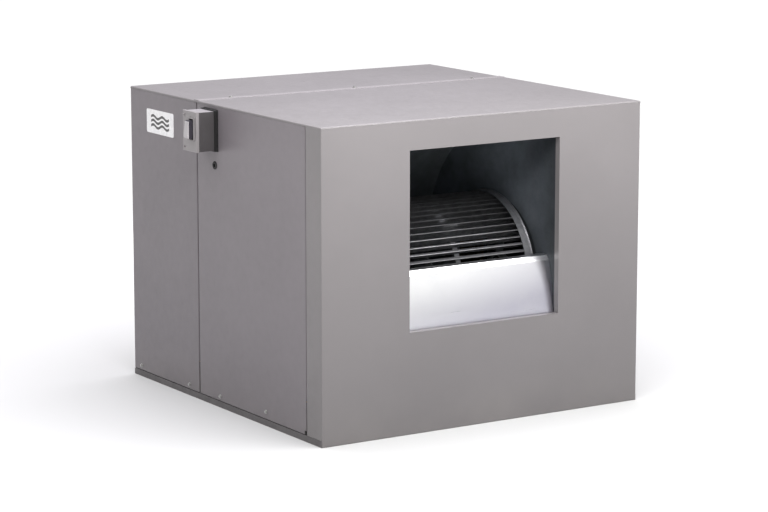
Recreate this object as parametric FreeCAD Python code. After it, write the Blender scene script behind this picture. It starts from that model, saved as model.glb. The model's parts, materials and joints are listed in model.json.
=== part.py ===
"""Side-discharge evaporative cooler: sheet-metal cabinet, water pan, rigid media,
double-inlet squirrel-cage blower with its belt drive, pump, float valve and junction box.

Frame: millimetres, +Z up. The origin is the centre of the base, on the floor.
-Y is the front, where the air leaves; +Y is the rear, where the media let it in.
"""
import FreeCAD
import Part
import math
import os
from FreeCAD import Vector

# ---------------------------------------------------------------- driving dimensions
WIDTH = 1067.0            # cabinet, across X
DEPTH = 1092.0            # cabinet, along Y
HEIGHT = 876.0            # roof surface above the floor
SHEET = 1.2               # cabinet sheet thickness
EDGE_RADIUS = 3.0         # outside radius of the folded panel edges
ROOF_RADIUS = 4.5         # and of the roof's edges
SEAM = 4.2                # gap between neighbouring side panels
LIP = 6.0                 # how far the roof panels fold down
BAND_HEIGHT = 18.0        # base pan band that shows below the side panels
PANEL_BOTTOM = 19.0       # lower edge of the side panels
PAN_FLOOR = 28.8          # underside of the pan floor
PAN_WALL_TOP = 110.0
PAN_INSET = 3.2           # pan wall behind the outer faces
FLANGE = 14.0             # inward flanges of the panels

FRONT_RETURN = 78.0       # the front panel folds back this far along each side
SEAM_Y = 138.6            # seam between access panel and media panel
ROOF_SEAM_Y = 152.0
ROOF_LAP = 24.0           # the rear roof panel laps over the front one

OPENING_HALF = 251.0      # discharge opening, half its width
OPENING_LOW = 288.0
OPENING_HIGH = 793.0
OPENING_FLANGE = 20.0

AXIS_Y = -232.0           # blower axis, along X
AXIS_Z = 373.0
WHEEL_RADIUS = 228.6
WHEEL_HALF = 228.5
BLADE_COUNT = 66
BLADE_DEPTH = 37.0
BLADE_THICKNESS = 1.0
SHAFT_RADIUS = 12.7
RUNNING_GAP = 0.03        # radial clearance of the shaft in its bearings
HOUSING_HALF = 254.0      # inside faces of the blower housing
TONGUE_ANGLE = 196.3      # degrees from +Y towards +Z, where the scroll starts
TONGUE_RADIUS = 300.0
SCROLL_END_ANGLE = 455.8
SCROLL_END_RADIUS = 425.2
SCROLL_GROWTH = 1.6
INLET_RADIUS = 186.0

BELT_PLANE = -304.0       # x of the middle of the belt
BLOWER_PULLEY_RADIUS = 130.0
MOTOR_PULLEY_RADIUS = 47.5
BELT_DEPTH = 8.0
BELT_WIDTH = 9.6
MOTOR_Y = 20.0
MOTOR_Z = 640.0
MOTOR_RADIUS = 80.0
MOTOR_SHAFT_RADIUS = 7.9

PUMP_X = -430.0
PUMP_Y = 60.0
HOSE_RADIUS = 8.0
HEADER_Y = 355.0          # water distribution pipe above the media
HEADER_Z = 822.0
HEADER_RADIUS = 14.0

PAD_FRONT = 202.0
PAD_REAR = 507.0
PAD_LOW = 84.0
PAD_HIGH = 780.0
PAD_COUNT = 3

BOX_FRONT = 17.0          # junction box on the left side
BOX_REAR = 93.0
BOX_LOW = 746.0
BOX_HIGH = 858.0
BOX_PROUD = 69.0
GASKET_THICK = 3.0        # rubber gasket around the box, where it passes the panel
GASKET_DEPTH = 11.0
SWITCH_Y = (25.0, 55.0)   # frame of the isolator on the box cover
SWITCH_Z = (777.5, 841.5)
SWITCH_PROUD = 20.0
SWITCH_TILT = 7.0         # degrees either side of level
KNOCKOUT_RADIUS = 11.1    # half-inch conduit
KNOCKOUT_Y = 62.0
LEAD_Y = 48.0             # where the motor and pump leads leave the box
PUMP_LEAD_Y = 80.0
LEAD_Z = 765.0

DRAIN = (400.0, -310.0)   # drain nipple, x and y
DRAIN_THREAD_RADIUS = 13.2
DRAIN_NECK_RADIUS = 13.6
DRAIN_BORE_RADIUS = 9.7
GROMMET = (34.0, 702.0)   # y and z of the water line entry
GROMMET_HOLE = 9.0
FLOAT_PIVOT = (-492.0, -400.0, 92.0)
FLOAT_ARM = 170.0
FLOAT_DROOP = 8.0         # degrees below level when the float hangs on its stop

LEFT = -WIDTH / 2
RIGHT = WIDTH / 2
FRONT = -DEPTH / 2
REAR = DEPTH / 2
PANEL_TOP = HEIGHT - LIP - 0.6
FRONT_TOP = HEIGHT - LIP - 0.1
AXIS = Vector(0, AXIS_Y, AXIS_Z)
HOUSING_FRONT = FRONT + 3.0
HOUSING_FOOT = 44.0
PUMP_BASE = PAN_FLOOR + SHEET + 0.3
BOX_OUT = LEFT - BOX_PROUD


# ---------------------------------------------------------------- small helpers
def box(x, y, z):
    """A box from three (low, high) pairs."""
    return Part.makeBox(x[1] - x[0], y[1] - y[0], z[1] - z[0], Vector(x[0], y[0], z[0]))


def cylinder(start, radius, length, direction):
    return Part.makeCylinder(radius, length, Vector(*start), Vector(*direction))


def along_x(x, y, z, radius):
    """A cylinder between two x values."""
    return cylinder((x[0], y, z), radius, x[1] - x[0], (1, 0, 0))


def upright(x, y, z, radius):
    return cylinder((x, y, z[0]), radius, z[1] - z[0], (0, 0, 1))


def ring_x(x, y, z, outer, inner):
    return along_x(x, y, z, outer).cut(along_x((x[0] - 1, x[1] + 1), y, z, inner))


def join(shapes):
    shapes = list(shapes)
    if len(shapes) == 1:
        return shapes[0]
    return shapes[0].multiFuse(shapes[1:]).removeSplitter()


def mirror_x(shape):
    return shape.mirror(Vector(0, 0, 0), Vector(1, 0, 0))


def prism_yz(points, x):
    """A closed (y, z) outline extruded between two x values."""
    corners = [Vector(x[0], y, z) for y, z in points]
    face = Part.Face(Part.makePolygon(corners + corners[:1]))
    return face.extrude(Vector(x[1] - x[0], 0, 0))


def prism_xz(points, y):
    corners = [Vector(px, y[0], pz) for px, pz in points]
    face = Part.Face(Part.makePolygon(corners + corners[:1]))
    return face.extrude(Vector(0, y[1] - y[0], 0))


def revolve_x(profile, y, z):
    """A closed (x, radius) outline revolved about an axis along X."""
    corners = [Vector(px, y, z + radius) for px, radius in profile]
    face = Part.Face(Part.makePolygon(corners + corners[:1]))
    return face.revolve(Vector(0, y, z), Vector(1, 0, 0), 360)


def revolve_z(profile, x, y):
    corners = [Vector(x + radius, y, pz) for radius, pz in profile]
    face = Part.Face(Part.makePolygon(corners + corners[:1]))
    return face.revolve(Vector(x, y, 0), Vector(0, 0, 1), 360)


def rounded_box(x, y, z, is_rounded, radius):
    """A box whose edges picked by is_rounded(centre) are filleted."""
    solid = box(x, y, z)
    edges = [e for e in solid.Edges if is_rounded(e.CenterOfMass)]
    return solid.makeFillet(radius, edges)


def tray(x, y, z, closed, thickness=SHEET, radius=EDGE_RADIUS):
    """A folded sheet: a box whose one closed face keeps rounded edges and whose far side is open.

    closed names the closed face, such as "-x".
    """
    axis = "xyz".index(closed[1])
    sign = 1 if closed[0] == "+" else -1
    outer_range = [list(x), list(y), list(z)]
    inner_range = [[r[0] + thickness, r[1] - thickness] for r in outer_range]
    face = outer_range[axis][1 if sign > 0 else 0]
    inner_range[axis][0 if sign > 0 else 1] = outer_range[axis][0 if sign > 0 else 1] - sign * 5

    def near(value):
        return lambda centre: abs(centre[axis] - value) < 0.01

    outer = rounded_box(*outer_range, near(face), radius)
    inner = rounded_box(*inner_range, near(face - sign * thickness), radius - thickness)
    return outer.cut(inner)


def hexagon(base, out, size, height):
    """A hexagonal prism that rises from base along out; size is from its centre to a corner."""
    side = Vector(1, 0, 0) if abs(out.x) < 0.5 else Vector(0, 0, 1)
    other = out.cross(side)
    corners = [base + side * (size * math.cos(math.radians(60 * i)))
               + other * (size * math.sin(math.radians(60 * i))) for i in range(6)]
    return Part.Face(Part.makePolygon(corners + corners[:1])).extrude(out * height)


def screw(point, direction, head=6.0, shank=2.4, length=9.0):
    """A hex-washer sheet-metal screw whose washer sits on a surface at point."""
    out = Vector(*direction)
    base = Vector(*point)
    washer = Part.makeCylinder(head, 0.9, base, out)
    crown = hexagon(base + out * 0.9, out, head * 0.7, 3.4)
    pin = Part.makeCylinder(shank, length, base - out * length, out)
    return join([washer, crown, pin])


# ---------------------------------------------------------------- cabinet
def base_pan():
    """Pressed water pan: a flush band at the floor, a step in, and the wall behind the panels."""
    front = FRONT + SHEET + 0.2
    wall_x = (LEFT + PAN_INSET, RIGHT - PAN_INSET)
    wall_y = (front + PAN_INSET, REAR - PAN_INSET)
    band = box((LEFT, RIGHT), (front, REAR), (0, BAND_HEIGHT))
    band = band.cut(box((LEFT + SHEET, RIGHT - SHEET), (front + SHEET, REAR - SHEET),
                        (-1, BAND_HEIGHT - SHEET)))
    wall = box(wall_x, wall_y, (BAND_HEIGHT - SHEET, PAN_WALL_TOP))
    inside_x = (wall_x[0] + SHEET, wall_x[1] - SHEET)
    inside_y = (wall_y[0] + SHEET, wall_y[1] - SHEET)
    pan = join([band, wall])
    pan = pan.cut(box(inside_x, inside_y, (-1, PAN_FLOOR)))
    pan = pan.cut(box(inside_x, inside_y, (PAN_FLOOR + SHEET, PAN_WALL_TOP + 1)))
    return pan.cut(upright(DRAIN[0], DRAIN[1], (20, 40), DRAIN_NECK_RADIUS))


def base_skids():
    """Three channels under the pan floor, which stand on the floor or on a roof stand."""
    half = WIDTH / 2 - 8
    skids = []
    for y in (-400, 0, 400):
        channel = box((-half, half), (y - 24, y + 24), (0, PAN_FLOOR))
        hollow = box((-half - 1, half + 1), (y - 22.4, y + 22.4), (1.6, PAN_FLOOR - 1.6))
        slot = box((-half - 1, half + 1), (y - 12, y + 12), (PAN_FLOOR - 2, PAN_FLOOR + 1))
        skids.append(channel.cut(hollow).cut(slot))
    return skids


def square_top(x, y, top):
    """Fills the bend along a panel's top edge, so that it closes square under the roof."""
    return box(x, y, (top - EDGE_RADIUS, top))


def front_panel():
    """Front sheet with its side returns and the flanged discharge opening."""
    shell = tray((LEFT, RIGHT), (FRONT, FRONT + FRONT_RETURN), (0, FRONT_TOP), "-y")
    shell = shell.cut(box((LEFT + SHEET, RIGHT - SHEET), (FRONT + SHEET, 0), (-5, FRONT_TOP - 20)))
    shell = shell.cut(box((LEFT - 1, RIGHT + 1), (FRONT + SHEET, 0), (-5, PANEL_BOTTOM)))
    shell = shell.cut(box((LEFT + 20, RIGHT - 20), (FRONT + 24, 0), (0, HEIGHT)))
    returns = [square_top((LEFT + EDGE_RADIUS, RIGHT - EDGE_RADIUS), (FRONT, FRONT + EDGE_RADIUS), FRONT_TOP)]
    rear_edge = FRONT + FRONT_RETURN
    for side in (-1, 1):
        near = side * (WIDTH / 2 - SHEET)
        far = side * (WIDTH / 2 - SHEET - FLANGE)
        returns.append(box(sorted((near, far)), (rear_edge - SHEET, rear_edge),
                           (PAN_WALL_TOP + 4, PANEL_TOP - SHEET)))
    inner = (FRONT + SHEET, FRONT + OPENING_FLANGE)
    collar = box((-OPENING_HALF - SHEET, OPENING_HALF + SHEET), inner,
                 (OPENING_LOW - SHEET, OPENING_HIGH + SHEET))
    panel = join([shell, collar] + returns)
    return panel.cut(box((-OPENING_HALF, OPENING_HALF), (FRONT - 1, FRONT + 40),
                         (OPENING_LOW, OPENING_HIGH)))


def roof_front_panel():
    """Roof over the blower, folded down at the front and both sides."""
    roof = tray((LEFT, RIGHT), (FRONT, ROOF_SEAM_Y + 60), (HEIGHT - LIP, HEIGHT), "+z",
                radius=ROOF_RADIUS)
    return roof.cut(box((LEFT - 1, RIGHT + 1), (ROOF_SEAM_Y, REAR), (0, HEIGHT + 1)))


def roof_rear_panel():
    """Roof over the media; its front edge is joggled up and laps over the front roof panel."""
    roof = tray((LEFT, RIGHT), (ROOF_SEAM_Y - 60, REAR), (HEIGHT - LIP, HEIGHT), "+z",
                radius=ROOF_RADIUS)
    roof = roof.cut(box((LEFT - 1, RIGHT + 1), (FRONT, ROOF_SEAM_Y + 0.4), (0, HEIGHT + 1)))
    lap = box((LEFT + 2, RIGHT - 2), (ROOF_SEAM_Y - ROOF_LAP, ROOF_SEAM_Y + 4),
              (HEIGHT, HEIGHT + SHEET))
    edges = [e for e in lap.Edges if e.CenterOfMass.z > HEIGHT + 1 and e.CenterOfMass.x == 0]
    return join([roof, lap.makeFillet(0.9, edges)])


def side_panel(y_low, y_high):
    """A left-hand side panel with inward flanges above the pan wall."""
    panel = tray((LEFT, LEFT + SHEET + FLANGE), (y_low, y_high), (PANEL_BOTTOM, PANEL_TOP), "-x")
    panel = panel.cut(box((LEFT + SHEET, 0), (y_low - 1, y_high + 1), (0, PAN_WALL_TOP + 4)))
    corner = square_top((LEFT, LEFT + EDGE_RADIUS), (y_low + EDGE_RADIUS, y_high - EDGE_RADIUS), PANEL_TOP)
    return join([panel, corner])


ACCESS_FRONT = FRONT + FRONT_RETURN + SEAM
ACCESS_REAR = SEAM_Y - SEAM / 2
NOTCH = 9.0


def access_panel():
    """Left access panel, with the finger notch at its lower front corner."""
    panel = side_panel(ACCESS_FRONT, ACCESS_REAR)
    notch = box((LEFT - 1, 0), (ACCESS_FRONT - 1, ACCESS_FRONT + NOTCH),
                (PANEL_BOTTOM - 1, PANEL_BOTTOM + 12))
    return panel.cut(notch)


def left_access_panel():
    """It comes off over the junction box, and carries the water line grommet."""
    gap = GASKET_THICK + 1.0
    cutout = box((LEFT - 1, 0), (BOX_FRONT - gap, BOX_REAR + gap), (BOX_LOW - gap, BOX_HIGH + gap))
    panel = access_panel().cut(cutout)
    y, z = GROMMET
    return panel.cut(along_x((LEFT - 1, LEFT + 5), y, z, GROMMET_HOLE))


def right_access_panel():
    return mirror_x(access_panel())


ACCESS_SCREWS = ((-246.0, 41.0), (16.0, 33.0))
SHORT_SHANK = 2.8         # ends in the gap behind the panel


def access_panel_screws():
    return [screw((LEFT, y, z), (-1, 0, 0), length=SHORT_SHANK) for y, z in ACCESS_SCREWS]


def media_panel():
    """Left side of the media section, folded in at the rear behind the media frame."""
    panel = side_panel(SEAM_Y + SEAM / 2, REAR)
    return_fold = box((LEFT + SHEET, LEFT + 34), (REAR - SHEET, REAR), (PAN_WALL_TOP + 4, PANEL_TOP))
    low_fold = box((LEFT + 1.5, LEFT + 34), (REAR - SHEET, REAR), (PANEL_BOTTOM, PAN_WALL_TOP + 4))
    return join([panel, return_fold, low_fold])


POST_FACE = LEFT + SHEET + FLANGE + 1.0
POST_HALF = 17.0


def cabinet_posts():
    """Channel posts behind the seams, which tie the pan to the roof."""
    x = (POST_FACE, POST_FACE + 28)
    y = (SEAM_Y - POST_HALF, SEAM_Y + POST_HALF)
    outer = box(x, y, (PAN_FLOOR + SHEET + 0.1, HEIGHT - SHEET - 0.2))
    hollow = box((x[0] + SHEET, x[1] + 1), (y[0] + SHEET, y[1] - SHEET), (0, HEIGHT))
    post = outer.cut(hollow)
    return [post, mirror_x(post)]


MEDIA_FRAME_FRONT = PAD_REAR + 4
MEDIA_FRAME_REAR = REAR - SHEET - 0.4


def media_frame():
    """Rear retaining frame: a rim and one bar at each joint between the pads."""
    y = (MEDIA_FRAME_FRONT, MEDIA_FRAME_REAR)
    x_half = WIDTH / 2 - SHEET - FLANGE - 1.5
    low = PAN_WALL_TOP + 1
    frame = tray((-x_half, x_half), y, (low, PANEL_TOP - 2), "+y", radius=2.5)
    window_low = low + 26
    window_high = PANEL_TOP - 62
    for middle in pad_centres():
        half = pad_width() / 2 - 12
        frame = frame.cut(box((middle - half, middle + half), (y[0] - 9, y[1] + 1),
                              (window_low, window_high)))
    return frame


def pad_width():
    return (WIDTH - 36) / PAD_COUNT


def pad_centres():
    return [(i - (PAD_COUNT - 1) / 2) * pad_width() for i in range(PAD_COUNT)]


def media_pad(index):
    """One block of rigid media: the outer shape, with thin walls between its air passages."""
    middle = pad_centres()[index]
    half = pad_width() / 2 - 0.5
    pad = box((middle - half, middle + half), (PAD_FRONT, PAD_REAR), (PAD_LOW, PAD_HIGH))
    slot_count = 12
    wall = 1.6
    pitch = (2 * half - wall) / slot_count
    slots = []
    for i in range(slot_count):
        x = middle - half + wall + i * pitch
        slots.append(box((x, x + pitch - wall), (PAD_FRONT - 1, PAD_REAR + 1),
                         (PAD_LOW + 6, PAD_HIGH - 6)))
    return pad.cut(Part.makeCompound(slots))


def media_support_rails():
    """Two inverted channels that hold the media above the water."""
    rails = []
    for y in (PAD_FRONT + 40, PAD_REAR - 40):
        rail = box((-500, 500), (y - 20, y + 20), (PAN_FLOOR + SHEET, PAD_LOW - 0.2))
        rails.append(rail.cut(box((-501, 501), (y - 18.5, y + 18.5), (0, PAD_LOW - 1.7))))
    return rails


def distribution_hood():
    """Sheets of the inverted channel above the media that turns the spray down on to them."""
    x = (-486.0, 486.0)
    y = (PAD_FRONT + 8, PAD_REAR - 6)
    z = (PAD_HIGH + 4, HEIGHT - 12)
    under = (z[0], z[1] - SHEET)
    pipe_gap = HEADER_RADIUS + 3
    inside_y = (y[0] + SHEET, y[1] - SHEET)
    left_end = (x[0], x[0] + SHEET)
    return [box(x, y, (z[1] - SHEET, z[1])),
            box(x, (y[0], y[0] + SHEET), under), box(x, (y[1] - SHEET, y[1]), under),
            box((x[1] - SHEET, x[1]), inside_y, under),
            box(left_end, (inside_y[0], HEADER_Y - pipe_gap), under),
            box(left_end, (HEADER_Y + pipe_gap, inside_y[1]), under)]


HEADER_LEFT = -516.0


def distributor_pipe():
    """Spray pipe with holes along its top, and the elbow at its left end for the hose."""
    x = (-485.0, 480.0)
    pipe = along_x(x, HEADER_Y, HEADER_Z, HEADER_RADIUS)
    bore = along_x((x[0] - 1, x[1] - 4), HEADER_Y, HEADER_Z, HEADER_RADIUS - 2)
    holes = [upright(hx, HEADER_Y, (HEADER_Z, HEADER_Z + 20), 2.2) for hx in range(-440, 441, 88)]
    pipe = pipe.cut(Part.makeCompound([bore] + holes))
    elbow = along_x((HEADER_LEFT, x[0]), HEADER_Y, HEADER_Z, HEADER_RADIUS + 2.5)
    spigot_x = HEADER_LEFT + 16
    spigot = cylinder((spigot_x, HEADER_Y - 36, HEADER_Z), HOSE_RADIUS - 2, 36, (0, 1, 0))
    way_in = cylinder((spigot_x, HEADER_Y - 37, HEADER_Z), HOSE_RADIUS - 3.8, 38, (0, 1, 0))
    way_on = along_x((HEADER_LEFT + 13, x[0] + 1), HEADER_Y, HEADER_Z, HEADER_RADIUS - 2)
    return [pipe, join([elbow, spigot]).cut(join([way_in, way_on]))]


# ---------------------------------------------------------------- round paths
def tube_along(points, radius, inner=0.0):
    """A tube along straight runs joined by tangent arcs; inner is the radius of its bore."""
    corners = [Vector(*p) for p in points]
    edges = []
    start = corners[0]
    for before, corner, after in zip(corners, corners[1:], corners[2:]):
        back = before - corner
        ahead = after - corner
        turn = math.pi - back.getAngle(ahead)
        reach = 0.45 * min(back.Length, ahead.Length)
        back.normalize()
        ahead.normalize()
        first = corner + back * reach
        last = corner + ahead * reach
        bend_radius = reach / math.tan(turn / 2)
        bisector = back + ahead
        bisector.normalize()
        centre = corner + bisector * (bend_radius / math.cos(turn / 2))
        middle = centre - bisector * bend_radius
        edges.append(Part.LineSegment(start, first).toShape())
        edges.append(Part.Arc(first, middle, last).toShape())
        start = last
    edges.append(Part.LineSegment(start, corners[-1]).toShape())
    path = Part.Wire(edges)
    direction = corners[1] - corners[0]
    profiles = [Part.Wire(Part.Circle(corners[0], direction, radius).toShape())]
    tube = path.makePipeShell(profiles, True, False)
    if inner:
        hole = path.makePipeShell([Part.Wire(Part.Circle(corners[0], direction, inner).toShape())],
                                  True, False)
        tube = tube.cut(hole)
    return tube


# ---------------------------------------------------------------- blower housing
def scroll_radius(angle):
    share = (angle - TONGUE_ANGLE) / (SCROLL_END_ANGLE - TONGUE_ANGLE)
    return TONGUE_RADIUS + (SCROLL_END_RADIUS - TONGUE_RADIUS) * share ** SCROLL_GROWTH


def scroll_edge(offset, x, steps=14):
    """The spiral as one spline at an offset outside the air path, in the plane of x."""
    points = []
    for i in range(steps + 1):
        angle = TONGUE_ANGLE + (SCROLL_END_ANGLE - TONGUE_ANGLE) * i / steps
        radius = scroll_radius(angle) + offset
        points.append(Vector(x, AXIS_Y + radius * math.cos(math.radians(angle)),
                             AXIS_Z + radius * math.sin(math.radians(angle))))
    curve = Part.BSplineCurve()
    curve.interpolate(points)
    return curve.toShape(), points[0], points[-1]


def side_plate():
    """Right side plate: scroll outline, straight outlet, inlet hole and a flat foot."""
    x = HOUSING_HALF
    margin = 12.0
    spiral, first, last = scroll_edge(margin, x)
    top = Vector(x, HOUSING_FRONT, last.z)
    low = Vector(x, HOUSING_FRONT, first.z)
    outline = Part.Wire([spiral, Part.LineSegment(last, top).toShape(),
                         Part.LineSegment(top, low).toShape(),
                         Part.LineSegment(low, first).toShape()])
    plate = Part.Face(outline).extrude(Vector(SHEET, 0, 0))
    foot = box((x, x + SHEET), (AXIS_Y - 140, AXIS_Y + 140), (HOUSING_FOOT, 160))
    foot_flange = box((x, x + 22), (AXIS_Y - 140, AXIS_Y + 140), (HOUSING_FOOT, HOUSING_FOOT + SHEET))
    plate = join([plate, foot, foot_flange])
    return plate.cut(along_x((x - 1, x + 5), AXIS_Y, AXIS_Z, INLET_RADIUS + 26))


def scroll_wrap():
    """The curved sheet between the side plates, straight at the outlet."""
    x = -HOUSING_HALF
    inner, inner_first, inner_last = scroll_edge(0, x)
    outer, outer_first, outer_last = scroll_edge(SHEET, x)
    inner_front = Vector(x, HOUSING_FRONT, inner_last.z)
    outer_front = Vector(x, HOUSING_FRONT, outer_last.z)
    outline = Part.Wire([inner, Part.LineSegment(inner_last, inner_front).toShape(),
                         Part.LineSegment(inner_front, outer_front).toShape(),
                         Part.LineSegment(outer_front, outer_last).toShape(), outer,
                         Part.LineSegment(outer_first, inner_first).toShape()])
    return Part.Face(outline).extrude(Vector(2 * HOUSING_HALF, 0, 0))


def cutoff_plate():
    """Tongue of the scroll: a slightly bowed plate across the lower outlet, with a lip on top."""
    half = HOUSING_HALF - 0.6
    low = Vector(-half, -523.2, 286.0)
    high = Vector(-half, -495.0, 434.0)
    middle = Vector(-half, -512.5, 362.0)
    lip = Vector(-half, -486.0, 447.0)
    heel = Vector(-half, -468.0, 450.0)
    thick = 1.5

    def edge(shift):
        move = Vector(0, shift, -shift * 0.2)
        plate = Part.Arc(low + move, middle + move, high + move).toShape()
        fold = Part.LineSegment(high + move, lip + move).toShape()
        tail = Part.LineSegment(lip + move, heel + move * 0.4).toShape()
        return [plate, fold, tail]

    face_side = edge(0)
    back_side = edge(thick)
    start = Part.LineSegment(low, low + Vector(0, thick, -thick * 0.2)).toShape()
    end = Part.LineSegment(heel, heel + Vector(0, thick * 0.4, -thick * 0.08)).toShape()
    wire = Part.Wire(Part.sortEdges(face_side + back_side + [start, end])[0])
    return Part.Face(wire).extrude(Vector(2 * half, 0, 0))


def inlet_ring():
    """Right bell-mouth: a flange on the side plate, curving in to the throat by the wheel."""
    outside = HOUSING_HALF + SHEET
    bell = 16.0
    flange_radius = INLET_RADIUS + 34
    thick = 1.4
    centre_x = outside + thick - bell
    centre_r = INLET_RADIUS + bell
    mid = math.sqrt(0.5)

    def quarter(radius):
        return (Vector(centre_x + radius, AXIS_Y, AXIS_Z + centre_r),
                Vector(centre_x + radius * mid, AXIS_Y, AXIS_Z + centre_r - radius * mid),
                Vector(centre_x, AXIS_Y, AXIS_Z + centre_r - radius))

    a0, a1, a2 = quarter(bell)
    b0, b1, b2 = quarter(bell - thick)
    rim = Vector(0, 0, flange_radius - centre_r)
    throat = Vector(236.5 - centre_x, 0, 0)
    edges = [Part.LineSegment(a0 + rim, a0).toShape(), Part.Arc(a0, a1, a2).toShape(),
             Part.LineSegment(a2, a2 + throat).toShape(),
             Part.LineSegment(a2 + throat, b2 + throat).toShape(),
             Part.LineSegment(b2 + throat, b2).toShape(), Part.Arc(b2, b1, b0).toShape(),
             Part.LineSegment(b0, b0 + rim).toShape(),
             Part.LineSegment(b0 + rim, a0 + rim).toShape()]
    return Part.Face(Part.Wire(edges)).revolve(AXIS, Vector(1, 0, 0), 360)


def blower_rails():
    """Cross channels on the pan floor under the feet of the side plates."""
    rails = []
    for y in (AXIS_Y - 110, AXIS_Y + 110):
        rail = box((-300, 300), (y - 22, y + 22), (PAN_FLOOR + SHEET, HOUSING_FOOT))
        rails.append(rail.cut(box((-301, 301), (y - 20.5, y + 20.5), (0, HOUSING_FOOT - 1.5))))
    return rails


BRACKET_ANGLES = (102.0, 222.0, 342.0)
BRACKET_INSIDE = HOUSING_HALF + SHEET + 1.5


def bearing_bracket():
    """Right spider: three flat arms from the side plate to a ring around the bearing."""
    x = (BRACKET_INSIDE, BRACKET_INSIDE + 4.0)
    reach = INLET_RADIUS + 48
    arms = []
    for angle in BRACKET_ANGLES:
        arm = box(x, (AXIS_Y + 34, AXIS_Y + reach), (AXIS_Z - 15, AXIS_Z + 15))
        rib = box((x[0], x[0] + 14), (AXIS_Y + 34, AXIS_Y + reach - 40), (AXIS_Z - 15, AXIS_Z - 12.5))
        pad = box((x[0] - 1.5, x[1]), (AXIS_Y + reach - 12, AXIS_Y + reach), (AXIS_Z - 15, AXIS_Z + 15))
        arm = join([arm, rib, pad])
        arms.append(arm.rotate(AXIS, Vector(1, 0, 0), angle))
    boss = ring_x((x[0], x[0] + 22), AXIS_Y, AXIS_Z, 38, 31)
    return join(arms + [boss])


def shaft_bearing():
    """Right bearing: rubber-cushioned ring around a steel sleeve, as one unit."""
    x = BRACKET_INSIDE
    profile = [(x + 1, SHAFT_RADIUS + RUNNING_GAP), (x + 27, SHAFT_RADIUS + RUNNING_GAP),
               (x + 27, 18), (x + 22, 20), (x + 22, 30.95), (x + 1, 30.95)]
    return revolve_x(profile, AXIS_Y, AXIS_Z)


# ---------------------------------------------------------------- blower wheel
def blade_section(x):
    """Forward-curved blade outline at the front of the wheel, as one closed wire."""
    tip = WHEEL_RADIUS - 0.8
    root = tip - BLADE_DEPTH
    lean = 4.0            # the tip stands this far ahead of the root
    bow = 7.5

    def point(radius, ahead):
        return Vector(x, AXIS_Y - ahead, AXIS_Z + math.sqrt(radius ** 2 - ahead ** 2))

    def arc(shift):
        mid_radius = (tip + root) / 2
        return (point(root, shift), point(mid_radius, lean / 2 - bow + shift),
                point(tip, lean + shift))

    a0, a1, a2 = arc(0)
    b0, b1, b2 = arc(BLADE_THICKNESS)
    return Part.Wire([Part.Arc(a0, a1, a2).toShape(), Part.LineSegment(a2, b2).toShape(),
                      Part.Arc(b2, b1, b0).toShape(), Part.LineSegment(b0, a0).toShape()])


def wheel_blades():
    """The blades, each a separate strip between the end rings."""
    half = WHEEL_HALF - 2.2
    blade = Part.Face(blade_section(-half)).extrude(Vector(2 * half, 0, 0))
    pitch = 360.0 / BLADE_COUNT
    phase = 67.5
    return [blade.copy().rotate(AXIS, Vector(1, 0, 0), phase + i * pitch)
            for i in range(BLADE_COUNT)]


def wheel_end_rings():
    """Right and left end rings: a band outside the blade tips and a rolled bead at the edge."""
    band_in = WHEEL_HALF - 25
    root = WHEEL_RADIUS - BLADE_DEPTH - 2
    profile = [(band_in, WHEEL_RADIUS - 0.4), (band_in, WHEEL_RADIUS + 0.8),
               (WHEEL_HALF - 3, WHEEL_RADIUS + 0.8), (WHEEL_HALF - 3, WHEEL_RADIUS + 2.4),
               (WHEEL_HALF - 0.5, WHEEL_RADIUS + 3.0), (WHEEL_HALF + 2, WHEEL_RADIUS + 2.2),
               (WHEEL_HALF + 2.6, WHEEL_RADIUS), (WHEEL_HALF + 1.5, WHEEL_RADIUS - 1.6),
               (WHEEL_HALF - 0.6, WHEEL_RADIUS - 2.2), (WHEEL_HALF - 0.6, root),
               (WHEEL_HALF - 1.9, root), (WHEEL_HALF - 1.9, WHEEL_RADIUS - 0.4)]
    ring = revolve_x(profile, AXIS_Y, AXIS_Z)
    return [ring, mirror_x(ring)]


CENTRE_PLATE_RADIUS = WHEEL_RADIUS - 0.8 - BLADE_DEPTH + 0.6
HUB_RADIUS = 32.0


def wheel_center_plate():
    """Spoked plate in the middle of the wheel, with a folded rim inside the blades."""
    half = 1.0
    disc = ring_x((-half, half), AXIS_Y, AXIS_Z, CENTRE_PLATE_RADIUS, HUB_RADIUS - 6)
    rim = ring_x((-8, 8), AXIS_Y, AXIS_Z, CENTRE_PLATE_RADIUS, CENTRE_PLATE_RADIUS - 1.6)
    windows = []
    for i in range(6):
        window = ring_x((-3, 3), AXIS_Y, AXIS_Z, CENTRE_PLATE_RADIUS - 22, HUB_RADIUS + 26)
        wedge = prism_yz([(AXIS_Y + 4, AXIS_Z), (AXIS_Y + 260, AXIS_Z + 104),
                          (AXIS_Y + 260, AXIS_Z - 104)], (-3, 3))
        windows.append(window.common(wedge).rotate(AXIS, Vector(1, 0, 0), 60 * i + 12))
    return join([disc.cut(Part.makeCompound(windows)), rim])


def wheel_hub():
    """Flanged hub clamped on the shaft, with a flat boss for its set screw."""
    body = ring_x((-30, 30), AXIS_Y, AXIS_Z, HUB_RADIUS - 6.05, SHAFT_RADIUS)
    flange = ring_x((1.0, 6), AXIS_Y, AXIS_Z, HUB_RADIUS + 20, SHAFT_RADIUS)
    set_screw = cylinder((20, AXIS_Y, AXIS_Z + SHAFT_RADIUS), 4, 24, (0, 0, 1))
    return join([body, flange, set_screw])


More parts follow.
